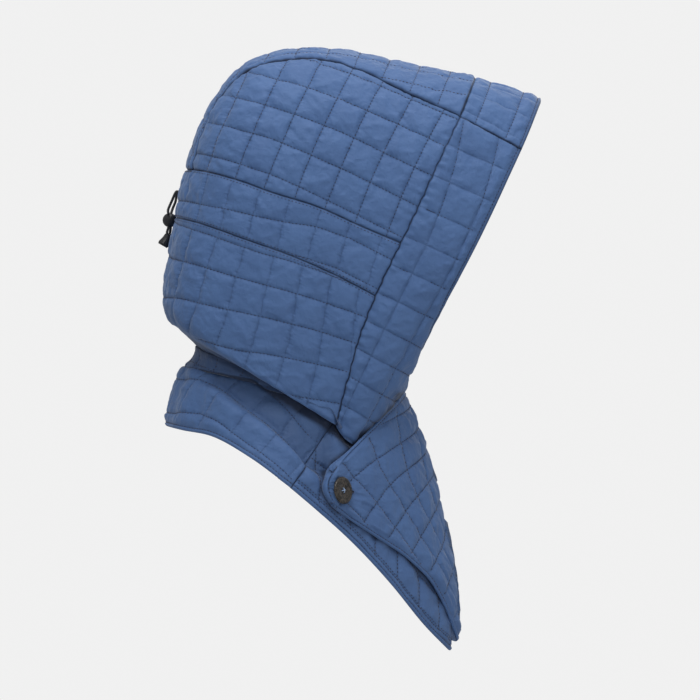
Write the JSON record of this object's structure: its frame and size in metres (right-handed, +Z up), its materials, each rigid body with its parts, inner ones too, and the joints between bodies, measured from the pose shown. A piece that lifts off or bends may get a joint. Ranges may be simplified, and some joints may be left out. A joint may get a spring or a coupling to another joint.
{
  "type": "quilted hood",
  "caption": "Padded quilted hood with a turned brim around the face, a drawcord band at the back and a shoulder cape whose front flap buttons at the side.",
  "frame": {"origin": "top of the head that wears the hood, on the middle plane, just inside the crown", "axes": "+X the way the wearer faces, +Y the wearer's left, +Z up"},
  "size_m": [0.3064, 0.2022, 0.4838],
  "materials": {
    "quilted_cloth": "closely woven matt nylon in slate blue, quilted in 25 mm squares over thin padding",
    "thread": "blue sewing thread",
    "button_horn": "mottled dark brown horn look, semi-gloss",
    "elastic_cord": "braided black elastic",
    "black_plastic": "moulded plastic, fine satin"
  },
  "bodies": {
    "root": {"centre_panel": "quilted_cloth", "side_panel_left": "quilted_cloth", "side_panel_right": "quilted_cloth", "drawcord_band": "quilted_cloth", "lower_panel": "quilted_cloth", "neck_band": "quilted_cloth", "brim_top": "quilted_cloth", "brim_side_left": "quilted_cloth", "brim_side_right": "quilted_cloth", "cape_back": "quilted_cloth", "front_right_under": "quilted_cloth", "front_left_over": "quilted_cloth", "button": "button_horn", "button_shank": "thread", "eyelet_right": "thread", "eyelet_left": "thread", "cord_right_upper": "elastic_cord", "cord_right_lower": "elastic_cord", "cord_left_upper": "elastic_cord", "cord_left_lower": "elastic_cord", "cord_lock": "black_plastic", "cord_end": "black_plastic"}
  },
  "joints": []
}
